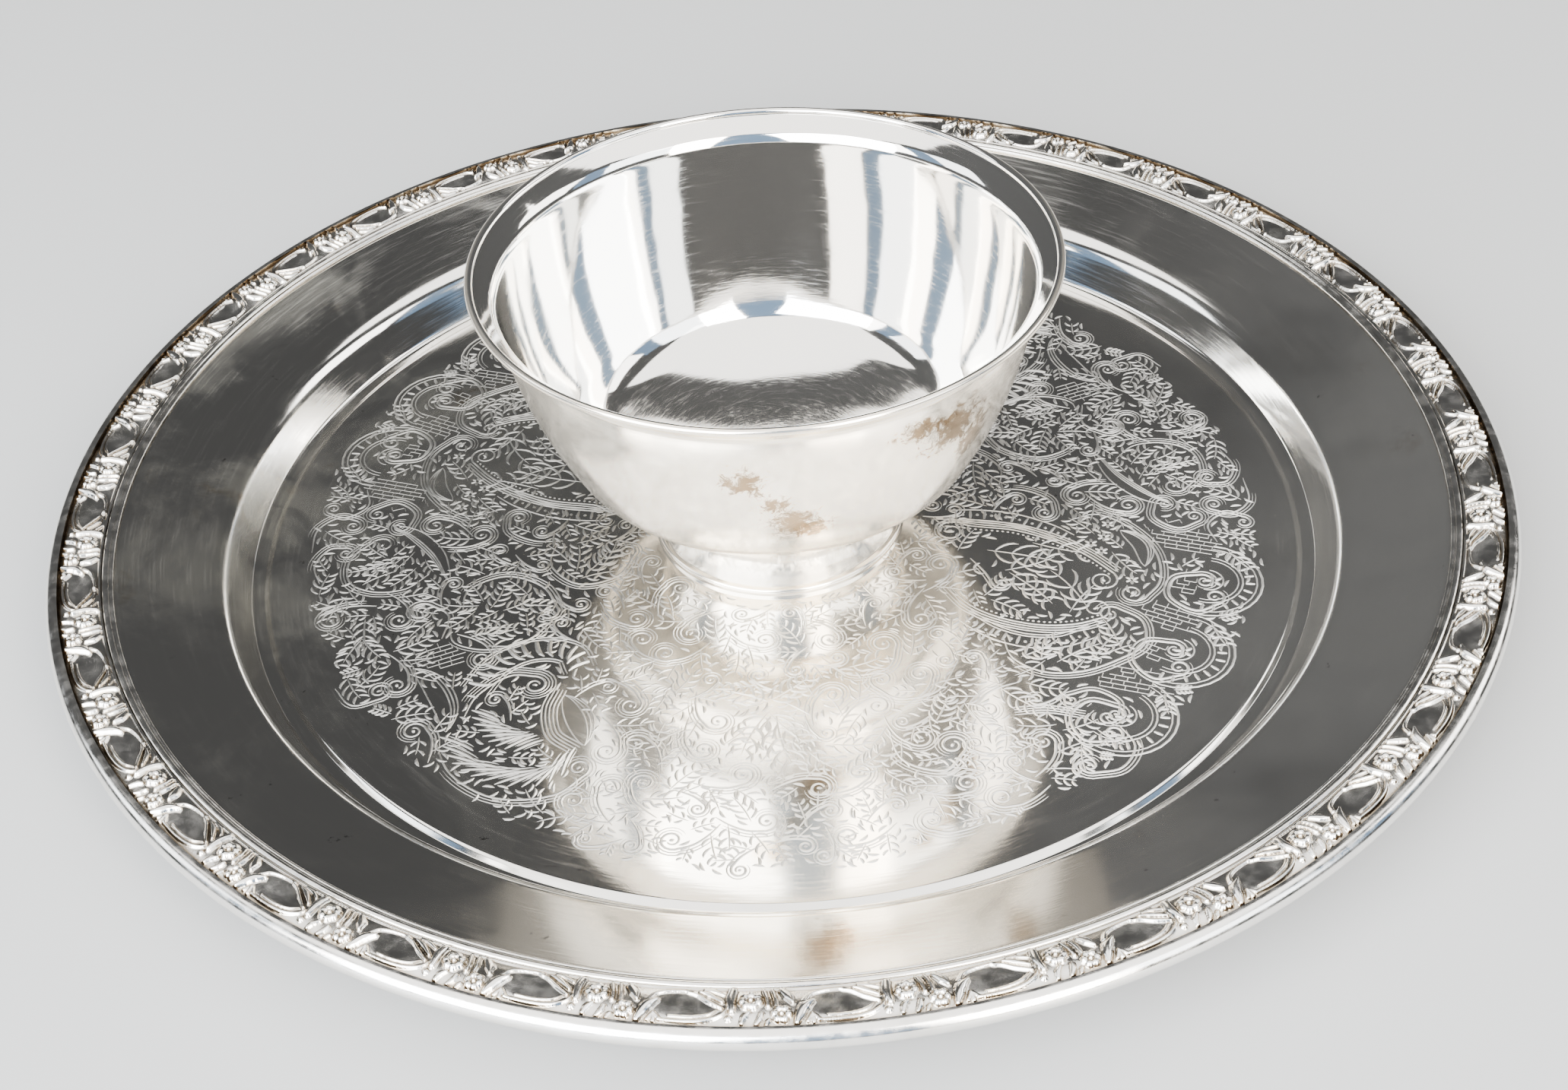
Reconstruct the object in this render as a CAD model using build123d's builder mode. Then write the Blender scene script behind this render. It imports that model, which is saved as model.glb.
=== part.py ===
from build123d import *
from math import copysign
import os

# A footed bowl screwed to the middle of a round engraved tray. Millimetres, +Z up.
# The origin is on the axis at the plane that the tray rests on.

# Tray, sizes of the finished upper surface
TRAY_R = 158.75
RIM_Z = 18.0
FLOOR_Z = 2.0
SHEET = 1.2
REST_DROP = FLOOR_Z - SHEET
WALL_FOOT_R = 118.9
WALL_TOP_R = 123.9
WALL_TOP_Z = 11.2
FLANGE_R = 144.6
FLANGE_Z = RIM_Z - 0.4
FLANGE_EDGE_R = TRAY_R - 1.75
CHANNEL_IN_R = 114.6
CHANNEL_OUT_R = 115.8
FLOOR_BEND = 1.0
WALL_BEND = 2.2
SHOULDER_BEND = 6.0
FLANGE_BEND = 3.0

# Raised centre of the tray, hidden inside the foot
BOSS_R = 15.0
BOSS_FOOT_R = 17.6
BOSS_Z = 8.8
BOSS_BEND = 1.6
STUD_HOLE_R = 2.75

# Border and edge mouldings
BORDER_IN_R = 147.2
BORDER_OUT_R = 156.0
BORDER_IN_Z = 18.5
BORDER_CROWN_Z = 19.5
BORDER_OUT_Z = 19.0
STRUCK_SHEET = 0.6
BEAD_IN_R = 144.7
BEAD_H = 1.3
BEAD_CHAMFER = 0.6
RIM_WIRE_BOTTOM = 15.4
RIM_WIRE_TOP = 19.8

# Bowl
BOWL_SHEET = 1.0
BOWL_BASE_Z = 16.9
BOWL_ARCS = [(121.0, 18.0), (14.0, 44.0), (103.0, 21.0), (4.0, -38.0)]
LIP_RUN = 5.1
LIP_WIRE_R = 0.85

# Foot
FOOT_SHEET = 1.1
FOOT_BASE_R = 26.6
FOOT_WAIST_R = 25.2
FOOT_WAIST_Z = 9.5
FOOT_TOP_R = 28.0
FOOT_TOP_Z = 20.6
FOOT_TRIM = 0.4
FOOT_WIRE_IN_R = FOOT_BASE_R - 0.2
FOOT_WIRE_OUT_R = FOOT_BASE_R + 1.4
FOOT_WIRE_H = 1.7
FOOT_WIRE_ROUND = 0.55
BRIDGE_Z = 10.6
BRIDGE_T = 1.6

# Fastening under the tray
STUD_R = 2.5
STUD_END_Z = 0.9
STUD_END_CHAMFER = 0.5
STUD_HEAD_R = 4.6
STUD_HEAD_T = 2.0
WASHER_OUT_R = 6.5
WASHER_T = 1.0
LOCK_OUT_R = 4.6
LOCK_T = 1.1
LOCK_GAP = 0.9
WASHER_HOLE_R = 2.7
NUT_BOTTOM_Z = 1.4
NUT_R = 8.0
NUT_NECK_R = 5.2
NUT_NECK_H = 1.0
NUT_BORE_R = STUD_R + 0.05
KNURL_COUNT = 30
KNURL_R = 0.45


def bowl_region(inset):
    """The region inside the bowl's outline, which is arcs up from the axis and a straight lip, moved inwards by inset."""
    with BuildSketch() as region:
        with BuildLine():
            start = Vector(0, BOWL_BASE_Z + inset)
            heading = Vector(1, 0)
            for radius, sweep in BOWL_ARCS:
                bend = JernArc(start, heading, radius - copysign(inset, sweep), sweep)
                start = bend @ 1
                heading = bend % 1
            lip = Line(start, start + heading * LIP_RUN)
            mouth = Line(lip @ 1, (0, (lip @ 1).Y))
            Line(mouth @ 1, (0, BOWL_BASE_Z + inset))
        make_face()
    return region.sketch


# Tray pan: raised centre, flat floor, narrow resting channel, well wall, sloping rim and flat edge
with BuildPart() as tray_pan:
    with BuildSketch(Plane.XZ) as tray_section:
        with BuildLine():
            FilletPolyline(
                (STUD_HOLE_R, BOSS_Z - SHEET / 2),
                (BOSS_R, BOSS_Z - SHEET / 2),
                (BOSS_FOOT_R, FLOOR_Z - SHEET / 2),
                (CHANNEL_IN_R, FLOOR_Z - SHEET / 2),
                (CHANNEL_OUT_R, SHEET / 2),
                (WALL_FOOT_R, SHEET / 2),
                (WALL_TOP_R, WALL_TOP_Z - SHEET / 2),
                (FLANGE_R, FLANGE_Z - SHEET / 2),
                (FLANGE_EDGE_R, FLANGE_Z - SHEET / 2),
                radius=[BOSS_BEND, BOSS_BEND, FLOOR_BEND, FLOOR_BEND, WALL_BEND, SHOULDER_BEND, FLANGE_BEND],
            )
        trace(line_width=SHEET)
    revolve(axis=Axis.Z)
tray_pan.part.label = "tray_pan"

# Struck border: a hollow crowned strip standing on its two edges on the tray's flat edge
with BuildPart() as border_mount:
    with BuildSketch(Plane.XZ) as border_outline:
        with BuildLine():
            Line((BORDER_IN_R, FLANGE_Z), (BORDER_IN_R, BORDER_IN_Z))
            ThreePointArc(
                (BORDER_IN_R, BORDER_IN_Z),
                ((BORDER_IN_R + BORDER_OUT_R) / 2, BORDER_CROWN_Z),
                (BORDER_OUT_R, BORDER_OUT_Z),
            )
            Line((BORDER_OUT_R, BORDER_OUT_Z), (BORDER_OUT_R, FLANGE_Z))
            Line((BORDER_OUT_R, FLANGE_Z), (BORDER_IN_R, FLANGE_Z))
        make_face()
    revolve(axis=Axis.Z)
    with BuildSketch(Plane.XZ) as border_hollow:
        with BuildLine():
            Line((BORDER_IN_R + STRUCK_SHEET, FLANGE_Z), (BORDER_IN_R + STRUCK_SHEET, BORDER_IN_Z - STRUCK_SHEET))
            ThreePointArc(
                (BORDER_IN_R + STRUCK_SHEET, BORDER_IN_Z - STRUCK_SHEET),
                ((BORDER_IN_R + BORDER_OUT_R) / 2, BORDER_CROWN_Z - STRUCK_SHEET),
                (BORDER_OUT_R - STRUCK_SHEET, BORDER_OUT_Z - STRUCK_SHEET),
            )
            Line((BORDER_OUT_R - STRUCK_SHEET, BORDER_OUT_Z - STRUCK_SHEET), (BORDER_OUT_R - STRUCK_SHEET, FLANGE_Z))
            Line((BORDER_OUT_R - STRUCK_SHEET, FLANGE_Z), (BORDER_IN_R + STRUCK_SHEET, FLANGE_Z))
        make_face()
    revolve(axis=Axis.Z, mode=Mode.SUBTRACT)
border_mount.part.label = "border_mount"

# Solder that fills the hollow border
with BuildPart() as border_filler:
    add(border_hollow.sketch)
    revolve(axis=Axis.Z)
border_filler.part.label = "border_filler"

# Plain bead along the border's inner edge
with BuildPart() as inner_bead:
    with BuildSketch(Plane.XZ) as bead_section:
        with BuildLine():
            Polyline(
                (BEAD_IN_R, FLANGE_Z),
                (BEAD_IN_R, FLANGE_Z + BEAD_H),
                (BORDER_IN_R, FLANGE_Z + BEAD_H),
                (BORDER_IN_R, FLANGE_Z),
                close=True,
            )
        make_face()
        chamfer(bead_section.vertices().group_by(Axis.Y)[-1], length=BEAD_CHAMFER)
    revolve(axis=Axis.Z)
inner_bead.part.label = "inner_bead"

# Edge wire: D section that wraps the tray's edge and closes the border's outer side
with BuildPart() as rim_wire:
    with BuildSketch(Plane.XZ):
        with BuildLine():
            back = Line((BORDER_OUT_R, RIM_WIRE_BOTTOM), (BORDER_OUT_R, RIM_WIRE_TOP))
            ThreePointArc(back @ 1, (TRAY_R, (RIM_WIRE_BOTTOM + RIM_WIRE_TOP) / 2), back @ 0)
        make_face()
        add(tray_section.sketch, mode=Mode.SUBTRACT)
    revolve(axis=Axis.Z)
rim_wire.part.label = "rim_wire"

# Bowl shell: spun sheet, rounded below and flared at the lip
with BuildPart() as bowl_shell:
    with BuildSketch(Plane.XZ) as bowl_section:
        add(bowl_region(0))
        add(bowl_region(BOWL_SHEET), mode=Mode.SUBTRACT)
    revolve(axis=Axis.Z)
bowl_shell.part.label = "bowl_shell"

# Lip wire: round wire soldered over the lip's cut edge
with BuildPart() as lip_wire:
    with BuildSketch(Plane.XZ):
        with Locations((bowl_shell.part.bounding_box().max.X - BOWL_SHEET / 2, bowl_shell.part.bounding_box().max.Z)):
            Circle(LIP_WIRE_R)
        add(bowl_section.sketch, mode=Mode.SUBTRACT)
    revolve(axis=Axis.Z)
lip_wire.part.label = "lip_wire"

# Foot collet: waisted tube from the tray's floor up to the bowl's underside
with BuildPart() as foot_collet:
    with BuildSketch(Plane.XZ):
        with BuildLine():
            ThreePointArc(
                (FOOT_BASE_R, FLOOR_Z - FOOT_TRIM),
                (FOOT_WAIST_R, FOOT_WAIST_Z),
                (FOOT_TOP_R, FOOT_TOP_Z),
            )
        trace(line_width=FOOT_SHEET)
    revolve(axis=Axis.Z)
    split(bisect_by=Plane.XY.offset(FLOOR_Z), keep=Keep.TOP)
    add(bowl_shell.part, mode=Mode.SUBTRACT)
foot_collet.part.label = "foot_collet"

# Foot wire: slim moulding round the foot's base
with BuildPart() as foot_wire:
    with BuildSketch(Plane.XZ) as foot_wire_section:
        with BuildLine():
            Polyline(
                (FOOT_WIRE_IN_R, FLOOR_Z),
                (FOOT_WIRE_IN_R, FLOOR_Z + FOOT_WIRE_H),
                (FOOT_WIRE_OUT_R, FLOOR_Z + FOOT_WIRE_H),
                (FOOT_WIRE_OUT_R, FLOOR_Z),
                close=True,
            )
        make_face()
        fillet(foot_wire_section.vertices().group_by(Axis.X)[-1], radius=FOOT_WIRE_ROUND)
    revolve(axis=Axis.Z)
    add(foot_collet.part, mode=Mode.SUBTRACT)
foot_wire.part.label = "foot_wire"

# Bridge: disc soldered across the inside of the foot, with the stud's hole
with BuildPart() as foot_bridge:
    with BuildSketch(Plane.XY.offset(BRIDGE_Z)):
        Circle(FOOT_WAIST_R - FOOT_SHEET / 2)
        Circle(STUD_R, mode=Mode.SUBTRACT)
    extrude(amount=BRIDGE_T)
    add(foot_collet.part, mode=Mode.SUBTRACT)
foot_bridge.part.label = "foot_bridge"

# Stud: thread-diameter shank down through the tray, round head on the bridge
with BuildPart() as stud:
    with BuildSketch(Plane.XY.offset(STUD_END_Z)):
        Circle(STUD_R)
    extrude(amount=BRIDGE_Z + BRIDGE_T - STUD_END_Z)
    chamfer(stud.edges().group_by(Axis.Z)[0], length=STUD_END_CHAMFER)
    with BuildSketch(Plane.XY.offset(BRIDGE_Z + BRIDGE_T)):
        Circle(STUD_HEAD_R)
    extrude(amount=STUD_HEAD_T)
stud.part.label = "stud"

# Flat washer against the underside of the raised centre
with BuildPart() as flat_washer:
    with BuildSketch(Plane.XY.offset(BOSS_Z - SHEET - WASHER_T)):
        Circle(WASHER_OUT_R)
        Circle(WASHER_HOLE_R, mode=Mode.SUBTRACT)
    extrude(amount=WASHER_T)
flat_washer.part.label = "flat_washer"

# Split spring washer, flattened by the nut
LOCK_Z = BOSS_Z - SHEET - WASHER_T - LOCK_T
with BuildPart() as lock_washer:
    with BuildSketch(Plane.XY.offset(LOCK_Z)):
        Circle(LOCK_OUT_R)
        Circle(WASHER_HOLE_R, mode=Mode.SUBTRACT)
        with Locations((LOCK_OUT_R, 0)):
            Rectangle(LOCK_OUT_R * 2, LOCK_GAP, mode=Mode.SUBTRACT)
    extrude(amount=LOCK_T)
lock_washer.part.label = "lock_washer"

# Thumb nut: knurled rim with a plain neck towards the washers
with BuildPart() as thumb_nut:
    with BuildSketch(Plane.XY.offset(NUT_BOTTOM_Z)):
        Circle(NUT_R)
        Circle(NUT_BORE_R, mode=Mode.SUBTRACT)
        with PolarLocations(NUT_R, KNURL_COUNT):
            Circle(KNURL_R, mode=Mode.SUBTRACT)
    extrude(amount=LOCK_Z - NUT_NECK_H - NUT_BOTTOM_Z)
    with BuildSketch(Plane.XY.offset(LOCK_Z - NUT_NECK_H)):
        Circle(NUT_NECK_R)
        Circle(NUT_BORE_R, mode=Mode.SUBTRACT)
    extrude(amount=NUT_NECK_H)
thumb_nut.part.label = "thumb_nut"

pieces = [
    tray_pan,
    border_mount,
    border_filler,
    inner_bead,
    rim_wire,
    bowl_shell,
    lip_wire,
    foot_collet,
    foot_wire,
    foot_bridge,
    stud,
    flat_washer,
    lock_washer,
    thumb_nut,
]
os.makedirs("parts", exist_ok=True)
for piece in pieces:
    export_step(piece.part, f"parts/{piece.part.label}.step")
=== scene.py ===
import math

import bmesh
import bpy
import numpy as np
from mathutils import Matrix, Vector


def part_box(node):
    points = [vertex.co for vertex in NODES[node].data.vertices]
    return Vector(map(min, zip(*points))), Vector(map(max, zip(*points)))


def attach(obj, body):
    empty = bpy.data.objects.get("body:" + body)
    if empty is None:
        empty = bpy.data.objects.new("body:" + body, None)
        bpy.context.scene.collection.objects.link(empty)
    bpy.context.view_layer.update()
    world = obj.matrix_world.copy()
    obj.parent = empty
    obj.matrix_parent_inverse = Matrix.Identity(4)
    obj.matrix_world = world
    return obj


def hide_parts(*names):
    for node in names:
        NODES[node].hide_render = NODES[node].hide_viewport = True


# A footed bowl on a round engraved tray, all in silver plate. Metres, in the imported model's frame;
# outlines are drawn in millimetres and scaled by MM.

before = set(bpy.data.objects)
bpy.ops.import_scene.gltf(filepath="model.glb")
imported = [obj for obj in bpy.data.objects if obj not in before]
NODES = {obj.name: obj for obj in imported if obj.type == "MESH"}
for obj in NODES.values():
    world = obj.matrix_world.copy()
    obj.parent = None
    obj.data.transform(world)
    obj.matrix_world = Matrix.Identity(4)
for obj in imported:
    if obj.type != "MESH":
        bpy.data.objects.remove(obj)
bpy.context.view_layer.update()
MM = 0.001

# ---------------------------------------------------------------- camera and light
CAMERA_AT = Vector((0.0, -0.3756, 0.3068))
CAMERA_LOOKS_AT = Vector((0.0005, -0.0298, 0.0180))
CAMERA_ROLL = math.radians(-3.46)
CAMERA_LENS = 48.9
CAMERA_SENSOR = 36.0
LIGHTS_LOOK_AT = Vector((0.0, 0.0, 0.03))
BACKDROP_RADIUS = 3.0
ROOM_COLOUR = (0.075, 0.076, 0.077, 1.0)
PAPER_COLOUR = (0.33, 0.33, 0.327, 1.0)
WHITE, WARM, COOL, BLUE = (1.0, 0.99, 0.97), (1.0, 0.96, 0.90), (0.90, 0.95, 1.0), (0.18, 0.34, 0.58)
# name, azimuth and elevation in degrees, distance, width and height in metres, watts, colour
SOFTBOXES = [
    ("ceiling", -90, 85, 1.7, 2.6, 2.3, 66, WHITE),
    ("front_left", -126, 28, 1.6, 1.36, 1.3, 150, COOL),
    ("front_right", -62, 28, 1.6, 0.53, 1.3, 70, WARM),
    ("front_middle", -87, 28, 1.6, 0.90, 1.3, 4.4, BLUE),
    ("far_left", -155, 34, 1.6, 0.3, 0.8, 8, WHITE),
    ("far_right", -37, 34, 1.6, 0.9, 0.8, 15, COOL),
    ("blue_left", -166, 30, 1.6, 0.4, 0.8, 1.0, BLUE),
    ("blue_right", -13, 30, 1.6, 0.45, 0.8, 1.1, BLUE),
    ("side_left", 174, 30, 1.6, 0.6, 0.7, 7, COOL),
    ("side_right", 14, 30, 1.6, 0.8, 0.6, 10, WHITE),
]


def add_camera():
    camera = bpy.data.objects.new("camera", bpy.data.cameras.new("camera"))
    bpy.context.scene.collection.objects.link(camera)
    camera.data.lens = CAMERA_LENS
    camera.data.sensor_width = CAMERA_SENSOR
    camera.data.clip_start = 0.01
    camera.location = CAMERA_AT
    aim = (CAMERA_LOOKS_AT - CAMERA_AT).to_track_quat("-Z", "Y").to_matrix()
    camera.rotation_euler = (aim @ Matrix.Rotation(CAMERA_ROLL, 3, "Z")).to_euler()
    bpy.context.scene.camera = camera


def softbox(name, azimuth, elevation, distance, width, height, power, colour):
    """A rectangular area light at an azimuth and elevation (degrees) from the tray's centre."""
    light = bpy.data.lights.new(name, "AREA")
    light.shape = "RECTANGLE"
    light.size, light.size_y = width, height
    light.energy = power
    light.color = colour
    a, e = math.radians(azimuth), math.radians(elevation)
    lamp = bpy.data.objects.new(name, light)
    lamp.location = Vector((math.cos(e) * math.cos(a), math.cos(e) * math.sin(a), math.sin(e))) * distance
    lamp.rotation_euler = (LIGHTS_LOOK_AT - lamp.location).to_track_quat("-Z", "Y").to_euler()
    bpy.context.scene.collection.objects.link(lamp)


def add_stage():
    """A pale floor, a round backdrop that the silver doesn't reflect, a dim room for it, and the lamps."""
    paper = bpy.data.materials.new("paper")
    paper.use_nodes = True
    paper.node_tree.nodes["Principled BSDF"].inputs["Base Color"].default_value = PAPER_COLOUR
    bpy.ops.mesh.primitive_plane_add(size=2 * BACKDROP_RADIUS)
    floor = bpy.context.object
    floor.name = "floor"
    bpy.ops.mesh.primitive_uv_sphere_add(segments=64, ring_count=32, radius=BACKDROP_RADIUS)
    bpy.ops.object.shade_smooth()
    backdrop = bpy.context.object
    backdrop.name = "backdrop"
    backdrop.visible_glossy = False
    for stage in (floor, backdrop):
        stage.data.materials.append(paper)
    world = bpy.data.worlds.new("world")
    world.use_nodes = True
    world.node_tree.nodes["Background"].inputs["Color"].default_value = ROOM_COLOUR
    bpy.context.scene.world = world
    for box in SOFTBOXES:
        softbox(*box)


# ---------------------------------------------------------------- materials
# radius in metres of the small circle that stands for every turn, so that the marks run round the axis
RING_TURN = 0.006


class Metal:
    """A metal made of procedural nodes. Each method adds one thing that a surface shows."""

    def __init__(self, name, colour, roughness):
        self.material = bpy.data.materials.new(name)
        self.material.use_nodes = True
        self.tree = self.material.node_tree
        self.shader = self.tree.nodes["Principled BSDF"]
        self.place = self.node("TexCoord", out="Object")
        self.colour = colour
        self.roughness = roughness
        self.bare = 1.0
        self.normal = None

    def node(self, kind, inputs=None, out=0, **settings):
        node = self.tree.nodes.new("ShaderNode" + kind)
        for key, value in settings.items():
            setattr(node, key, value)
        for key, value in (inputs or {}).items():
            if isinstance(value, bpy.types.NodeSocket):
                self.tree.links.new(value, node.inputs[key])
            elif value is not None:
                node.inputs[key].default_value = value
        return node.outputs[out]

    def math(self, operation, a, b=0.0):
        return self.node("Math", {0: a, 1: b}, operation=operation)

    def times(self, a, b):
        return self.math("MULTIPLY", a, b)

    def plus(self, a, b):
        return self.math("ADD", a, b)

    def noise(self, scale, detail=3.0, rough=0.5, place=None, distortion=0.0):
        inputs = {"Vector": place or self.place, "Scale": scale, "Detail": detail}
        return self.node("TexNoise", {**inputs, "Roughness": rough, "Distortion": distortion})

    def span(self, value, low, high, to_low=0.0, to_high=1.0):
        inputs = {"Value": value, "From Min": low, "From Max": high, "To Min": to_low, "To Max": to_high}
        return self.node("MapRange", inputs, interpolation_type="SMOOTHSTEP")

    def mix(self, factor, a, b):
        a, b = [c if isinstance(c, bpy.types.NodeSocket) else (*c, 1.0) for c in (a, b)]
        return self.node("Mix", {0: factor, 6: a, 7: b}, out=2, data_type="RGBA")

    def tint(self, factor, colour):
        self.colour = self.mix(factor, self.colour, colour)

    def bump(self, height, depth, strength=1.0):
        inputs = {"Height": height, "Distance": depth, "Strength": strength, "Normal": self.normal}
        self.normal = self.node("Bump", inputs)

    def rings(self):
        """Coordinates that change fast with radius and slowly round the axis, for marks left by turning."""
        xyz = self.node("SeparateXYZ", {0: self.place}).node.outputs
        squares = [self.times(c, c) for c in xyz[:2]]
        radius = self.math("SQRT", self.plus(*squares))
        across = [self.times(self.math("DIVIDE", c, radius), RING_TURN) for c in xyz[:2]]
        return self.node("CombineXYZ", {0: across[0], 1: across[1], 2: self.plus(radius, xyz[2])})

    def finish(self):
        values = {"Base Color": self.colour, "Roughness": self.roughness, "Metallic": self.bare}
        for name, value in values.items():
            socket = self.shader.inputs[name]
            if isinstance(value, bpy.types.NodeSocket):
                self.tree.links.new(value, socket)
            else:
                socket.default_value = (*value, 1.0) if name == "Base Color" else value
        if self.normal is not None:
            self.tree.links.new(self.normal, self.shader.inputs["Normal"])
        return self.material


SILVER = (0.93, 0.905, 0.86)
TARNISH = (0.42, 0.33, 0.22)
SOOT = (0.10, 0.09, 0.08)
CLOUD = (0.62, 0.60, 0.53)
# near black brown for the border's deepest hollows, dark tarnish and painted shade together
DARK_TARNISH_AND_SHADE = (0.13, 0.10, 0.07)
# grey for the engraving, partly its own tone and partly painted shade on its left side
CUT_GREY_AND_SIDE_SHADE = (0.30, 0.30, 0.29)
STRAW = (0.94, 0.84, 0.69)
BROWN = (0.22, 0.13, 0.05)


def haze_on(m):
    """Where the tray is dulled: a veil on its right side and clouds of tarnish on its left, both 0 to 1. On
    the engraving, painted shade is laid where the veil is thin.
    """
    xyz = m.node("SeparateXYZ", {0: m.place}).node.outputs
    across = m.math("SUBTRACT", xyz[0], m.times(xyz[1], 0.5))
    veil = m.times(m.span(across, 0.0, 0.13), m.span(m.noise(9, 4, 0.6), 0.3, 0.6))
    leftward = m.span(across, 0.03, -0.13, 0.25, 1.0)
    cloud = m.times(m.span(m.noise(22, 7, 0.65, distortion=0.8), 0.44, 0.66), leftward)
    return veil, cloud


def tray_silver():
    """Worn silver: clouded and stained with tarnish, and finely scratched round the axis."""
    m = Metal("tray_silver", SILVER, 0.06)
    veil, cloud = haze_on(m)
    patch = m.noise(60, 8, 0.72, distortion=0.3)
    fine = m.noise(1500, 2, 0.6, place=m.rings())
    m.tint(m.times(cloud, 0.8), CLOUD)
    m.tint(m.times(m.span(patch, 0.56, 0.74), cloud), TARNISH)
    m.tint(m.span(m.noise(190, 5, 0.7), 0.66, 0.74, 0, 0.6), SOOT)
    dulled = m.plus(m.times(cloud, 0.014), m.times(veil, 0.016))
    m.bare = m.math("SUBTRACT", 1.0, dulled)
    m.roughness = m.plus(m.times(cloud, 0.14), m.span(fine, 0.45, 0.75, 0.07, 0.13))
    m.bump(m.noise(14, 2, 0.4), 0.0010, 0.25)
    m.bump(fine, 0.00001, 0.4)
    return m.finish()


def engraved_silver():
    m = Metal("engraved_silver", SILVER, 0.3)
    veil, cloud = haze_on(m)
    m.tint(m.times(cloud, 0.8), CLOUD)
    # painted shade mixed with the cuts' own grey: grey over the engraving, strongest on the tray's left
    # side and fading out under the veil on its right, so the left side reads darker
    m.tint(m.math("SUBTRACT", 0.62, veil), CUT_GREY_AND_SIDE_SHADE)
    m.bare = m.math("SUBTRACT", 1.0, m.times(veil, 0.06))
    m.roughness = m.span(m.noise(400, 3, 0.6), 0.3, 0.7, 0.30, 0.42)
    return m.finish()


def border_silver():
    """Bright on the raised work, brown with tarnish in the hollows, and near black in the deepest hollows,
    where dark tarnish and painted shade are laid on together.
    """
    m = Metal("border_silver", SILVER, 0.14)
    m.roughness = m.span(m.noise(300, 4, 0.6), 0.3, 0.7, 0.12, 0.26)
    hollow = m.node("AmbientOcclusion", {"Distance": 0.0016}, out=1, samples=8)
    m.tint(m.span(hollow, 0.92, 0.6), TARNISH)
    # painted shade with dark tarnish: near black brown where ambient occlusion finds the deepest hollows
    m.tint(m.span(hollow, 0.7, 0.4, 0.0, 0.9), DARK_TARNISH_AND_SHADE)
    m.tint(m.span(m.noise(90, 5, 0.6), 0.5, 0.75, 0, 0.45), CLOUD)
    m.bump(m.noise(2500, 3, 0.6), 0.00003, 0.4)
    return m.finish()


# stains on the bowl's outside: azimuth in degrees, height, half width, half height in millimetres
STAINS = [
    (-97, 54, 6, 6), (-91, 47, 5, 4), (-87, 41, 8, 7), (-82, 38, 6, 5),
    (-59, 60, 8, 4), (-50, 56, 11, 9), (-43, 49, 7, 9),
]
STAIN_RADIUS = 50.0


def bowl_silver():
    """Bright silver, warmer and rougher outside, where it has a few brown stains under the lip."""
    m = Metal("bowl_silver", SILVER, 0.08)
    fine = m.noise(1500, 2, 0.6, place=m.rings())
    xyz = m.node("SeparateXYZ", {0: m.place}).node.outputs
    level = m.node("CombineXYZ", {0: xyz[0], 1: xyz[1], 2: 0.0})
    facing = m.node("NewGeometry", out="True Normal")
    outside = m.span(m.node("VectorMath", {0: level, 1: facing}, out=1, operation="DOT_PRODUCT"), 0.0, 0.01)
    m.tint(m.times(outside, 0.8), STRAW)
    ragged = m.noise(360, 8, 0.8, distortion=0.6)
    for azimuth, height, half_width, half_height in STAINS:
        around = m.math("ARCTAN2", xyz[1], xyz[0])
        u = m.times(m.math("SUBTRACT", around, math.radians(azimuth)), STAIN_RADIUS / half_width)
        v = m.math("DIVIDE", m.math("SUBTRACT", xyz[2], height * MM), half_height * MM)
        far = m.math("SQRT", m.plus(m.times(u, u), m.times(v, v)))
        stain = m.span(m.plus(far, m.times(ragged, 4.0)), 2.75, 2.25)
        m.tint(m.times(m.times(stain, outside), 0.9), BROWN)
    m.bare = m.span(outside, 0.0, 1.0, 0.99, 0.93)
    m.roughness = m.plus(m.times(outside, 0.09), m.span(fine, 0.45, 0.75, 0.05, 0.10))
    m.bump(m.noise(45, 2, 0.4), 0.0008, 0.25)
    m.bump(fine, 0.00001, 0.4)
    return m.finish()


# ---------------------------------------------------------------- mesh helpers
def mesh_object(name, verts, faces, body, material, sharp=None):
    mesh = bpy.data.meshes.new(name)
    mesh.from_pydata(verts, [], faces)
    mesh.update()
    mesh.polygons.foreach_set("use_smooth", np.ones(len(mesh.polygons), bool))
    if sharp:
        mesh.set_sharp_from_angle(angle=math.radians(sharp))
    mesh.materials.append(material)
    piece = bpy.data.objects.new(name, mesh)
    bpy.context.scene.collection.objects.link(piece)
    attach(piece, body)
    return piece


def through(points, steps=10):
    """A smooth curve through points: Catmull-Rom, sampled."""
    p = np.array(points, float)
    p = np.vstack([2 * p[0] - p[1], p, 2 * p[-1] - p[-2]])
    t = np.linspace(0, 1, steps, endpoint=False)[:, None]
    runs = [
        0.5 * (2 * b + (c - a) * t + (2 * a - 5 * b + 4 * c - d) * t**2 + (3 * b - a - 3 * c + d) * t**3)
        for a, b, c, d in zip(p[:-3], p[1:-2], p[2:-1], p[3:])
    ]
    return np.vstack(runs + [p[-2:-1]])


def rounded(points, radii, steps=10):
    """A line through points (r, z) with each inner corner rounded to its radius."""
    line = [points[0]]
    for before, corner, after, radius in zip(points, points[1:], points[2:], radii):
        before, corner, after = (Vector(p) for p in (before, corner, after))
        one, two = (before - corner).normalized(), (after - corner).normalized()
        half = one.angle(two) / 2
        centre = corner + (one + two).normalized() * radius / math.sin(half)
        start, end = corner + one * radius / math.tan(half), corner + two * radius / math.tan(half)
        sweep = (end - centre).angle_signed(start - centre)
        for k in range(steps + 1):
            line.append(tuple(centre + Matrix.Rotation(sweep * k / steps, 2) @ (start - centre)))
    return line + [points[-1]]


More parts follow.
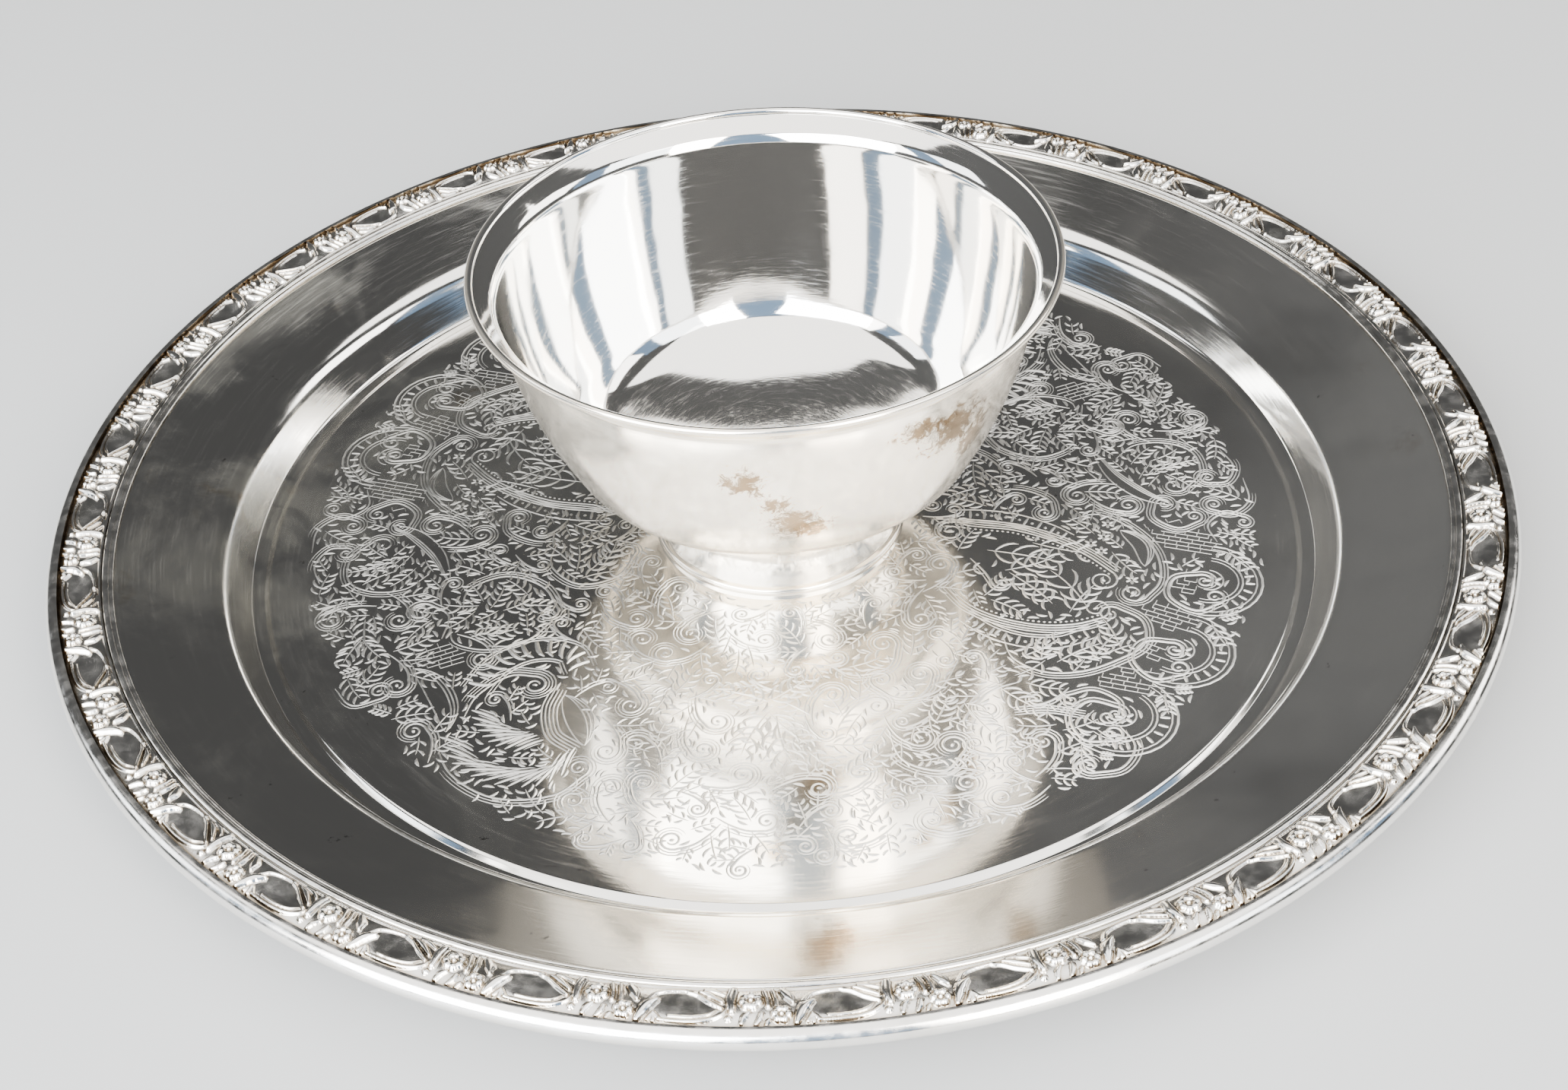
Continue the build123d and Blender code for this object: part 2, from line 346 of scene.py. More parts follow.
def arcs(start, heading, turns, counts):
    """A line from start made of tangent arcs, each (radius, degrees), left turns positive."""
    place, heading = np.array(start, float), math.radians(heading)
    line = [tuple(place)]
    for (radius, degrees), steps in zip(turns, counts):
        step = math.radians(degrees) / steps
        chord = 2 * radius * math.sin(abs(step) / 2)
        for _ in range(steps):
            place = place + chord * np.array([math.cos(heading + step / 2), math.sin(heading + step / 2)])
            heading += step
            line.append(tuple(place))
    return line, heading


def supported(line, near=0.3, step=4.0):
    """The line with extra points on its long runs, so that smooth shading stays flat there."""
    out = [line[0]]
    for a, b in zip(line, line[1:]):
        length = math.dist(a, b)
        if length > 3 * near:
            inner = np.linspace(near, length - near, max(2, int(length / step)))
            out += [tuple(np.array(a) + (np.array(b) - np.array(a)) * d / length) for d in inner]
        out.append(b)
    return out


def shifted(line, distance):
    """The line moved sideways, to its left for a positive distance."""
    p = np.array(line, float)
    along = np.zeros_like(p)
    runs = np.diff(p, axis=0)
    runs /= np.linalg.norm(runs, axis=1)[:, None]
    along[0], along[-1] = runs[0], runs[-1]
    along[1:-1] = runs[:-1] + runs[1:]
    along /= np.linalg.norm(along, axis=1)[:, None]
    lengthen = np.ones(len(p))
    lengthen[1:-1] = 1 / np.clip((along[1:-1] * runs[1:]).sum(1), 0.5, 1)
    normal = np.stack([-along[:, 1], along[:, 0]], 1)
    return [tuple(q) for q in p + normal * distance * lengthen[:, None]]


def lathe(name, section, body, material, replaced, closed=True, segments=512, sharp=35):
    """Turns a section (r, z in millimetres) about the axis. An open section starts and ends on the axis."""
    s = np.array(section, float) * MM
    n = len(s)
    angle = np.linspace(0, 2 * math.pi, segments, endpoint=False)
    x, y = np.outer(np.cos(angle), s[:, 0]), np.outer(np.sin(angle), s[:, 0])
    verts = np.stack([x, y, np.tile(s[:, 1], (segments, 1))], -1)
    i, j = np.meshgrid(np.arange(segments), np.arange(n if closed else n - 1), indexing="ij")
    nxt_i, nxt_j = (i + 1) % segments, (j + 1) % n
    faces = np.stack([i * n + j, nxt_i * n + j, nxt_i * n + nxt_j, i * n + nxt_j], -1).reshape(-1, 4)
    area = (s[:, 0] * np.roll(s[:, 1], -1) - np.roll(s[:, 0], -1) * s[:, 1]).sum()
    if area < 0:
        faces = faces[:, ::-1]
    piece = mesh_object(name, verts.reshape(-1, 3).tolist(), faces.tolist(), body, material)
    if not closed:
        merge = bmesh.new()
        merge.from_mesh(piece.data)
        bmesh.ops.remove_doubles(merge, verts=merge.verts, dist=1e-7)
        merge.to_mesh(piece.data)
        merge.free()
    piece.data.set_sharp_from_angle(angle=math.radians(sharp))
    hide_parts(*replaced)
    return piece


# ---------------------------------------------------------------- turned pieces
# The same sections as the CAD's, turned finely enough for clean reflections. Sizes in millimetres.
TRAY_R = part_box("rim_wire")[1].x / MM
SHEET = 1.2
FLOOR_Z = 2.0
BOSS_R, BOSS_FOOT_R, BOSS_Z, STUD_HOLE_R = 15.0, 17.6, 8.8, 2.75
CHANNEL_IN_R, CHANNEL_OUT_R = 114.6, 115.8
WALL_FOOT_R, WALL_TOP_R, WALL_TOP_Z = 118.9, 123.9, 11.2
FLANGE_R, FLANGE_Z, FLANGE_EDGE_R = 144.6, 17.6, 157.0
TRAY_BENDS = [1.6, 1.6, 1.0, 1.0, 2.2, 6.0, 3.0]
BORDER_IN_R, BORDER_OUT_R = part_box("inner_bead")[1].x / MM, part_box("border_mount")[1].x / MM
BEAD_IN_R, BEAD_H, BEAD_ROUND, FINE_LINE_ROUND = 144.7, 1.3, 0.85, 0.45
WIRE_TOP_FLAT, WIRE_SEAM_SHARE = 0.5, 0.985
BOWL_SHEET = 1.0
BOWL_BASE_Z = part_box("bowl_shell")[0].z / MM
BOWL_ARCS = [(121.0, 18.0), (14.0, 44.0), (103.0, 21.0), (4.0, -38.0)]
BOWL_STEPS = [45, 16, 44, 8]
LIP_RUN, LIP_END, LIP_RISE = 5.1, 0.5, 0.05
LIP_WIRE_R = 0.85
FOOT_SHEET = 1.1
FOOT_BASE_R, FOOT_WAIST_R, FOOT_WAIST_Z = 26.6, 25.2, 9.5
FOOT_TOP_R, FOOT_TOP_Z = 28.0, 20.6
FOOT_WIRE_OUT_R, FOOT_WIRE_H, FOOT_WIRE_ROUND, FOOT_WIRE_TAPER = 28.0, 1.7, 0.8, 0.1


def circle(r, z, radius, start=0.0, end=360.0, steps=24):
    """Points on an arc in the section, angles from the outward direction."""
    a = np.radians(np.linspace(start, end, steps))
    return [(r + radius * math.cos(t), z + radius * math.sin(t)) for t in a]


def add_tray(metal):
    half = SHEET / 2
    middle = [
        (STUD_HOLE_R, BOSS_Z - half),
        (BOSS_R, BOSS_Z - half),
        (BOSS_FOOT_R, FLOOR_Z - half),
        (CHANNEL_IN_R, FLOOR_Z - half),
        (CHANNEL_OUT_R, half),
        (WALL_FOOT_R, half),
        (WALL_TOP_R, WALL_TOP_Z - half),
        (FLANGE_R, FLANGE_Z - half),
        (FLANGE_EDGE_R, FLANGE_Z - half),
    ]
    line = supported(rounded(middle, TRAY_BENDS))
    section = shifted(line, half) + shifted(line, -half)[::-1]
    lathe("tray", section, "tray", metal, ["tray_pan"], segments=384)


def add_mouldings(metal):
    """The bead inside the border, with a second fine line beside it, and the wire round the edge."""
    bead = [(BEAD_IN_R, FLANGE_Z)]
    bead += circle(BEAD_IN_R + FINE_LINE_ROUND, FLANGE_Z + FINE_LINE_ROUND, FINE_LINE_ROUND, 180, 60, 8)
    bead += circle(BORDER_IN_R - BEAD_ROUND, FLANGE_Z + BEAD_H - BEAD_ROUND, BEAD_ROUND, 150, 0, 12)
    bead += [(BORDER_IN_R, FLANGE_Z)]
    lathe("border_bead", bead[::-1], "tray", metal, ["inner_bead"])
    low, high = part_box("rim_wire")[0].z / MM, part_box("rim_wire")[1].z / MM
    middle, half = (low + high) / 2, (high - low) / 2
    flat_end = BORDER_OUT_R + WIRE_TOP_FLAT
    wire = [(BORDER_OUT_R, middle + half * WIRE_SEAM_SHARE)]
    wire += [
        (flat_end + (TRAY_R - flat_end) * math.cos(t), middle + half * math.sin(t))
        for t in np.radians(np.linspace(90, -90, 28))
    ]
    wire += [(BORDER_OUT_R, middle - half * WIRE_SEAM_SHARE)]
    lathe("edge_wire", wire[::-1], "tray", metal, ["rim_wire"], segments=720)


def add_bowl(metal):
    outer, heading = arcs((0, BOWL_BASE_Z), 0, BOWL_ARCS, BOWL_STEPS)
    lip = (outer[-1][0] + LIP_RUN * math.cos(heading), outer[-1][1] + LIP_RUN * math.sin(heading))
    outer = supported(outer + [lip], step=3.0)
    inner = shifted(outer, BOWL_SHEET)
    inner = [(max(r, 0), z) for r, z in inner if z < lip[1]]
    inner[0] = (0, BOWL_BASE_Z + BOWL_SHEET)
    section = outer + [(lip[0] - LIP_END, lip[1] + LIP_RISE)] + inner[::-1]
    lathe("bowl", section, "bowl", metal, ["bowl_shell"], closed=False, segments=384)
    roll = circle(lip[0] - BOWL_SHEET / 2, lip[1], LIP_WIRE_R)[:-1]
    lathe("bowl_lip", roll, "bowl", metal, ["lip_wire"])


def add_foot(metal):
    wall = through([(FOOT_BASE_R, FLOOR_Z), (FOOT_WAIST_R, FOOT_WAIST_Z), (FOOT_TOP_R, FOOT_TOP_Z)], 16)
    wall = [tuple(p) for p in wall]
    section = shifted(wall, -FOOT_SHEET / 2) + shifted(wall, FOOT_SHEET / 2)[::-1]
    lathe("foot", section, "bowl", metal, ["foot_collet"])
    ring = [(FOOT_BASE_R, FLOOR_Z + FOOT_WIRE_H)]
    level = FLOOR_Z + FOOT_WIRE_H - FOOT_WIRE_ROUND
    ring += circle(FOOT_WIRE_OUT_R - FOOT_WIRE_ROUND, level, FOOT_WIRE_ROUND, 90, -20, 10)
    ring += [(FOOT_WIRE_OUT_R - FOOT_WIRE_TAPER, FLOOR_Z), (FOOT_BASE_R, FLOOR_Z)]
    lathe("foot_ring", ring[::-1], "bowl", metal, ["foot_wire"])


# ---------------------------------------------------------------- border relief
# One repeat of the border is drawn in millimetres: s along the edge, t from its inner side outwards.
REPEATS = 36
BORDER_IN, BORDER_OUT = BORDER_IN_R * MM, BORDER_OUT_R * MM
# heights at the strip's inner edge, middle and outer edge
BORDER_CROWN = [18.5, 19.5, 19.0]
ROUNDNESS = 0.65
BORDER_PHASE = math.radians(5.0)
REPEAT_LENGTH = 2 * math.pi * (BORDER_IN + BORDER_OUT) / 2 / REPEATS / MM
BORDER_WIDTH = (BORDER_OUT - BORDER_IN) / MM


class Relief:
    """A height field over one repeat, to which rounded shapes are added; it wraps round in s."""

    def __init__(self, columns, rows):
        self.s = (np.arange(columns) / columns * REPEAT_LENGTH)[:, None]
        self.t = np.linspace(0, BORDER_WIDTH, rows)[None, :]
        self.h = np.zeros((columns, rows))

    def join(self, height):
        self.h = (np.clip(self.h, 0, None) ** 5 + height**5) ** 0.2

    def along(self, s0):
        """Distance along s from s0, the short way round."""
        half = REPEAT_LENGTH / 2
        return (self.s - s0 + half) % REPEAT_LENGTH - half

    def ball(self, s, t, radius, height):
        d = np.hypot(self.along(s), self.t - t) / radius
        self.join(height * np.clip(1 - d**2, 0, 1) ** ROUNDNESS)

    def dent(self, s, t, radius, depth):
        d = np.hypot(self.along(s), self.t - t) / radius
        self.h -= depth * np.exp(-(d**2) * 2)

    def ridge(self, points, widths, height):
        """A rounded ridge along a smooth curve, its half width going through widths."""
        line = through(points)
        half = np.interp(np.linspace(0, 1, len(line)), np.linspace(0, 1, len(widths)), widths)
        best = np.full(self.h.shape, 9.0)
        for (s, t), w in zip(line, half):
            best = np.minimum(best, np.hypot(self.along(s), self.t - t) / w)
        self.join(height * np.clip(1 - best**2, 0, 1) ** ROUNDNESS)

    def flower(self, s, t, radius, petals, height, turn=0.0):
        for k in range(petals):
            a = turn + 2 * math.pi * k / petals
            out = 0.62 * radius
            self.ball(s + out * math.cos(a), t + out * math.sin(a), 0.46 * radius, height)
        self.dent(s, t, 0.42 * radius, 0.45 * height)
        self.ball(s, t, 0.26 * radius, height * 1.02)


def border_heights(columns, rows):
    r = Relief(columns, rows)
    # a line along the strip's inner edge
    r.ridge([(s, 0.25) for s in np.linspace(0, REPEAT_LENGTH, 12)], [0.4, 0.4], 0.35)
    # C-scroll lines over the plain panel, sweeping right and inwards
    r.ridge(
        [(14.6, 7.6), (19.0, 7.7), (22.6, 7.3), (25.0, 6.2), (26.0, 4.6)],
        [0.35, 0.45, 0.45, 0.3, 0.2], 0.55,
    )
    r.ridge([(16.2, 6.7), (19.5, 6.8), (22.4, 6.3), (24.2, 5.2)], [0.2, 0.34, 0.34, 0.15], 0.42)
    # inner line of the panel, with a stem and leaves at its right end
    r.ridge([(12.6, 3.4), (13.6, 2.0), (16.0, 1.25), (19.4, 1.15)], [0.5, 0.4, 0.32, 0.25], 0.5)
    r.ridge([(19.0, 1.5), (20.6, 2.0), (22.6, 3.4), (24.9, 4.9)], [0.2, 0.3, 0.42, 0.25], 0.55)
    r.ridge([(20.8, 1.2), (22.6, 1.9), (24.9, 3.6)], [0.25, 0.62, 0.3], 0.6)
    r.ridge([(21.6, 0.8), (23.4, 0.95), (25.2, 1.9)], [0.25, 0.5, 0.3], 0.5)
    r.ball(18.9, 1.15, 0.5, 0.55)
    # upright leaf left of the flowers, with its bud
    r.ridge([(0.1, 0.9), (-0.15, 3.0), (0.2, 5.6)], [0.85, 0.95, 0.6], 0.85)
    r.ball(-0.3, 7.0, 0.62, 0.6)
    # leaves between and round the flowers
    r.ridge([(1.9, 7.9), (2.3, 6.7), (3.1, 5.8)], [0.4, 0.6, 0.35], 0.6)
    r.ridge([(4.3, 8.1), (4.9, 7.1), (5.2, 6.0)], [0.4, 0.6, 0.4], 0.65)
    r.ridge([(6.0, 8.2), (6.2, 7.6), (6.5, 7.2)], [0.35, 0.45, 0.3], 0.5)
    r.ridge([(6.3, 4.6), (6.0, 2.7), (5.4, 0.9)], [0.4, 0.48, 0.4], 0.62)
    r.ridge([(7.6, 4.5), (7.4, 2.7), (6.9, 0.9)], [0.35, 0.45, 0.4], 0.6)
    r.ridge([(10.4, 3.9), (9.7, 2.4), (8.7, 1.1)], [0.35, 0.95, 0.75], 0.72)
    # curved leaf right of the flowers, and the small fan behind it
    r.ridge([(11.0, 8.0), (11.6, 6.4), (12.4, 4.8), (14.0, 3.6)], [0.55, 1.0, 1.05, 0.3], 0.9)
    for k in range(3):
        a = math.radians(118 - 34 * k)
        tip = (13.6 + 1.7 * math.cos(a), 6.2 + 1.7 * math.sin(a))
        r.ridge([(13.6, 6.2), tip], [0.25, 0.42], 0.5)
    # the two flowers
    r.flower(3.3, 3.3, 2.05, 7, 0.95, turn=0.3)
    r.flower(8.5, 6.2, 1.75, 6, 0.9, turn=0.1)
    # the panel's hollow
    d = (np.abs(r.along(19.3)) / 5.0) ** 3 + (np.abs(r.t - 4.1) / 2.2) ** 3
    return r.h - 0.3 * np.exp(-d) - 0.1


def add_border(material, parts=3, columns=148, rows=56):
    heights = border_heights(columns, rows)
    radius = np.linspace(BORDER_IN, BORDER_OUT, rows)
    crown = np.polyval(np.polyfit([0, 0.5, 1], BORDER_CROWN, 2), np.linspace(0, 1, rows)) * MM
    count = REPEATS // parts * columns
    for part in range(parts):
        angle = 2 * math.pi * (part / parts + np.arange(count + 1) / (REPEATS * columns)) + BORDER_PHASE
        z = crown[None, :] + np.vstack([heights] * (REPEATS // parts) + [heights[:1]]) * MM
        x = radius[None, :] * np.cos(angle)[:, None]
        y = radius[None, :] * np.sin(angle)[:, None]
        verts = np.stack([x, y, z], -1).reshape(-1, 3)
        i, j = np.meshgrid(np.arange(count), np.arange(rows - 1), indexing="ij")
        a = i * rows + j
        faces = np.stack([a, a + rows, a + rows + 1, a + 1], -1).reshape(-1, 4)
        name = f"border_relief_{part + 1}"
        piece = mesh_object(name, verts.tolist(), faces.tolist(), "tray", material)
        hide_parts("border_mount")


# ---------------------------------------------------------------- engraving
# Figures are drawn in hundredths of the tray's radius, small sizes in millimetres. Every cut is made
# twice, half a turn apart.
FIGURE = TRAY_R / 100
ENGRAVED_IN, ENGRAVED_OUT = 29.5, 108.0
# distances of the fine lines beside a scroll
ONE_ECHO, TWO_ECHOES = (0.8,), (0.8, 1.5)
# the grid's cell, and the slope of a cut's flanks
CELL = 0.45
CUT_SLOPE = 0.32


def unit(degrees):
    return np.array([math.cos(math.radians(degrees)), math.sin(math.radians(degrees))])


def heading_of(step):
    return math.degrees(math.atan2(step[1], step[0]))


def curl(at, heading, length, bend_start, bend_end, steps):
    """A line whose curvature (1/mm) goes from bend_start to bend_end."""
    t = np.linspace(0, 1, steps)
    bend = bend_start + (bend_end - bend_start) * t**1.4
    turned = np.concatenate([[0], np.cumsum((bend[1:] + bend[:-1]) / 2)])
    angle = math.radians(heading) + turned * length / (steps - 1)
    step = np.stack([np.cos(angle), np.sin(angle)], 1) * length / (steps - 1)
    return np.asarray(at, float) + np.vstack([[0, 0], np.cumsum((step[1:] + step[:-1]) / 2, axis=0)])


def beside(points, offset):
    along = np.gradient(points, axis=0)
    along /= np.linalg.norm(along, axis=1)[:, None] + 1e-9
    return points + np.stack([-along[:, 1], along[:, 0]], 1) * np.asarray(offset).reshape(-1, 1)


def stations(points, spacing):
    """Places along a line at a spacing, each with its directions along and across (to the left)."""
    steps = np.linalg.norm(np.diff(points, axis=0), axis=1)
    distance = np.concatenate([[0], np.cumsum(steps)])
    count = max(1, int(distance[-1] / spacing))
    found = []
    for d in (np.arange(count) + 0.5) * distance[-1] / count:
        i = min(np.searchsorted(distance, d, "right") - 1, len(steps) - 1)
        along = (points[i + 1] - points[i]) / (steps[i] + 1e-9)
        found.append((points[i] + along * (d - distance[i]), along, np.array([-along[1], along[0]])))
    return found


def outline(angle):
    """The scalloped outer edge of the engraving: its radius at an angle."""
    return ENGRAVED_OUT - 4.0 + 2.6 * np.abs(np.cos(angle * 13)) + 1.4 * np.cos(angle * 4 + 0.6)


class Engraving:
    """Tapered cuts, each a low ridge with two flanks, and a grid of the places already taken."""

    def __init__(self, seed):
        self.random = np.random.default_rng(seed)
        self.cuts = []
        self.cells = int(2 * ENGRAVED_OUT / CELL) + 20
        self.taken = np.zeros((self.cells, self.cells), bool)

    def cell(self, points):
        return np.clip((points / CELL + self.cells / 2).astype(int), 0, self.cells - 1)

    def mark(self, points, clearance):
        reach = np.arange(-clearance, clearance + CELL / 2, CELL)
        dx, dy = np.meshgrid(reach, reach)
        near = np.stack([dx, dy], -1)[dx**2 + dy**2 <= clearance**2 + 0.01]
        around = (points[:, None, :] + near[None, :, :]).reshape(-1, 2)
        for side in (1, -1):
            c = self.cell(side * around)
            self.taken[c[:, 0], c[:, 1]] = True

    def crowded(self, points, allowed=0.1):
        c = self.cell(points)
        radius = np.hypot(points[:, 0], points[:, 1])
        outside = (radius > outline(np.arctan2(points[:, 1], points[:, 0]))) | (radius < ENGRAVED_IN)
        return outside.any() or self.taken[c[:, 0], c[:, 1]].mean() > allowed

    def cut(self, points, width, clearance=0.35, ends=(0.15, 0.15)):
        """One cut along points. Its width swells from ends[0] to full and back to ends[1]."""
        points = np.asarray(points, float)
        t = np.linspace(0, 1, len(points))
        swell = np.sin(math.pi * t) ** 0.55
        low = ends[0] * (1 - t) + ends[1] * t
        self.cuts.append((points, width * (low + (1 - low) * swell)))
        self.mark(points, clearance)

    def lines(self, points, offsets, width, clearance=0.35):
        for offset in offsets:
            self.cut(beside(points, offset), width, clearance, ends=(0.5, 0.5))

    def bars(self, points, offset, length, spacing, width):
        for at, along, across in stations(points, spacing):
            start, tip = at + across * offset, at + across * (offset + length)
            self.cut([start, (start + tip) / 2, tip], width, 0.3, ends=(0.7, 0.7))

    def dots(self, points, offset, spacing, size):
        for at, along, across in stations(points, spacing):
            centre = at + across * offset
            step = along * size / 2
            self.cut([centre - step, centre, centre + step], size, 0.3, ends=(0.5, 0.5))

    def scroll(self, points, roll, hand, turns=1.2, width=0.6, echoes=TWO_ECHOES, start_roll=0.0):
        """A line that rolls up at its end, to its left (hand 1) or right, with fine lines beside it."""
        line = through(points, 6)
        for radius, at_start in ((roll, False), (start_roll, True)):
            if not radius:
                continue
            base = line[::-1] if at_start else line
            side = -hand if at_start else hand
            step = base[-1] - base[-2]
            normal = np.array([-step[1], step[0]]) / np.linalg.norm(step) * side
            centre = base[-1] + normal * radius
            sweep = np.linspace(0, turns * 2 * math.pi, int(16 * turns) + 2)[1:]
            shrink = radius * (1 - 0.62 * (sweep / sweep[-1]) ** 0.8)
            first = math.atan2(-normal[1], -normal[0])
            turned = first + side * sweep
            spiral = centre + shrink[:, None] * np.stack([np.cos(turned), np.sin(turned)], 1)
            base = np.vstack([base, spiral])
            line = base[::-1] if at_start else base
            eye = [centre - 0.3 * normal, centre, centre + 0.3 * normal]
            self.cut(eye, max(0.7, radius * 0.45), 0.3, ends=(0.6, 0.6))
        self.cut(line, width, ends=(0.3, 0.6))
        for echo in echoes:
            n = len(line)
            part = line[int(n * 0.12) : int(n * (0.80 if roll else 0.92))]
            self.cut(beside(part, -hand * echo), width * 0.6)
        return line

    def leaf(self, at, heading, length, bend=0.0, lobes=4, width=0.55, sides=(1, -1)):
        """A rib with pointed lobes that lean towards its tip."""
        rib = curl(at, heading, length, bend * 0.4, bend, 10)
        inside = np.hypot(*rib.T) < outline(np.arctan2(rib[:, 1], rib[:, 0])) - 1.0
        if inside.sum() < 4:
            return
        rib = rib[: len(rib) if inside.all() else max(4, inside.argmin())]
        length = self.run(rib)
        self.cut(rib, width * 0.6)
        for k, (place, along, across) in enumerate(stations(rib, length / lobes)[:lobes]):
            size = length * 0.46 * (1 - 0.6 * abs(k - 0.8) / lobes)
            for side in sides:
                out = heading_of(along) + side * 62
                lobe = curl(place + across * side * 0.3, out, size, -side * 0.10, -side * 2.4 / size, 6)
                self.cut(lobe, width, 0.3, ends=(0.4, 0.1))

    def flower(self, at, radius, petals=5):
        for k in range(petals):
            a = 360 * k / petals + 20
            petal = curl(at + 0.25 * radius * unit(a), a, radius * 0.8, 0.05, 0.15, 4)
            self.cut(petal, radius * 0.5, ends=(0.6, 0.6))

    def shell(self, centre, heading, radius):
        """A fan: nested arcs, short bars between the outer two, and a small flower at its hinge."""
        angles = np.radians(np.linspace(heading - 95, heading + 95, 16))
        ring = np.asarray(centre) + np.stack([np.cos(angles), np.sin(angles)], 1) * radius
        middle = np.asarray(centre, float)
        for share, width in ((1.0, 0.55), (0.9, 0.35), (0.64, 0.4), (0.56, 0.3), (0.28, 0.4)):
            self.cut(middle + (ring - middle) * share, width, ends=(0.5, 0.5))
        self.bars(middle + (ring - middle) * 0.69, 0.0, -radius * 0.17, radius * 0.19, 0.8)
        self.flower(middle + 0.1 * radius * unit(heading), radius * 0.16)
        self.mark(middle + (ring - middle) * 0.45, 0.8)

    def brick(self, centre, turn, long, wide, spacing=1.3):
        """A patch of brickwork hatching inside an oval, on free ground only."""
        c, s = unit(turn)
        grid = np.array([[c, s], [-s, c]])
        for row in range(int(2 * wide / spacing) + 1):
            y = -wide + row * spacing
            half = long * math.sqrt(max(0.0, 1 - (y / wide) ** 2))
            for x in np.arange(-half + spacing * (row % 2), half, 2 * spacing):
                course = [(x, y), (x + spacing, y), (x + 2 * spacing, y)]
                joint = [(x, y), (x, y + spacing)]
                for piece in (course, joint):
                    piece = np.array(piece) @ grid + centre
                    if not self.crowded(piece, 0.0):
                        self.cuts.append((piece, np.full(len(piece), 0.22)))
        turns = np.linspace(0, 2 * math.pi, 36)
        rings = (0.25, 0.5, 0.75, 0.95)
        reach = [(long * a * math.cos(b), wide * a * math.sin(b)) for a in rings for b in turns]
        self.mark(np.array(reach) @ grid + centre, 0.7)

    def blade(self, points, width):
        """A smooth crescent left plain between two lines, with fine lines along one edge."""
        line = through(points, 6)
        half = width * np.sin(math.pi * np.linspace(0, 1, len(line))) ** 0.7
        for share in (-1, 1, 1.45, 1.9):
            self.cut(beside(line, half * share), 0.36, ends=(0.5, 0.5))
        for share in (-0.7, -0.35, 0, 0.35, 0.7):
            self.mark(beside(line, half * share), 0.6)

    def ladder(self, points, side, gap, spacing):
        """Two lines with bars between them and a bead in each bay."""
        line = through(points, 6)
        self.lines(line, [0.0], 0.45)
        self.lines(line, [side * gap, side * (gap + 0.75)], 0.4)
        self.bars(line, side * 0.5, side * (gap - 1.0), spacing, 0.7)
        for at, along, across in stations(line, spacing):
            centre = at + along * spacing / 2 + across * side * gap / 2
            self.cut([centre - across * 0.35, centre, centre + across * 0.35], 0.8, 0.3, ends=(0.6, 0.6))

    def crest(self, points, height, spacing, hand):
        """Two pairs of lines with a row of wave-shaped bars between the pairs."""
        line = through(points, 6)
        self.lines(line, [0.0, hand * 0.7], 0.45)
        self.lines(line, [hand * (height + 1.4), hand * (height + 2.1)], 0.45)
        for at, along, across in stations(line, spacing):
            start = at + across * hand * 1.2
            bar = curl(start, heading_of(across * hand), height, 0.0, -hand * 0.4, 5)
            self.cut(bar, 1.1, ends=(0.8, 0.25))

    def plume(self, points, lean, length, count, hand):
        """Feathers of three cuts that leave a line one after another on one side and sweep forward."""
        line = through(points, 6)
        for k, (at, along, across) in enumerate(stations(line, self.run(line) / count)):
            size = length * (1 - 0.35 * abs(k / count - 0.4) * 2)
            feather = curl(at, heading_of(along) + hand * lean, size, -hand * 0.02, -hand * 0.9 / size, 12)
            self.cut(feather, 0.9, ends=(0.3, 0.2))
            self.cut(beside(feather[2:-1], 0.8), 0.4)
            self.cut(beside(feather[3:-1], -0.8), 0.3)

    @staticmethod
    def run(line):
        return np.linalg.norm(np.diff(line, axis=0), axis=1).sum()


def figure(*points):
    """Points given in hundredths of the tray's radius, in millimetres."""
    return [np.array(p, float) * FIGURE for p in points]


def spot(x, y):
    return np.array((x, y)) * FIGURE


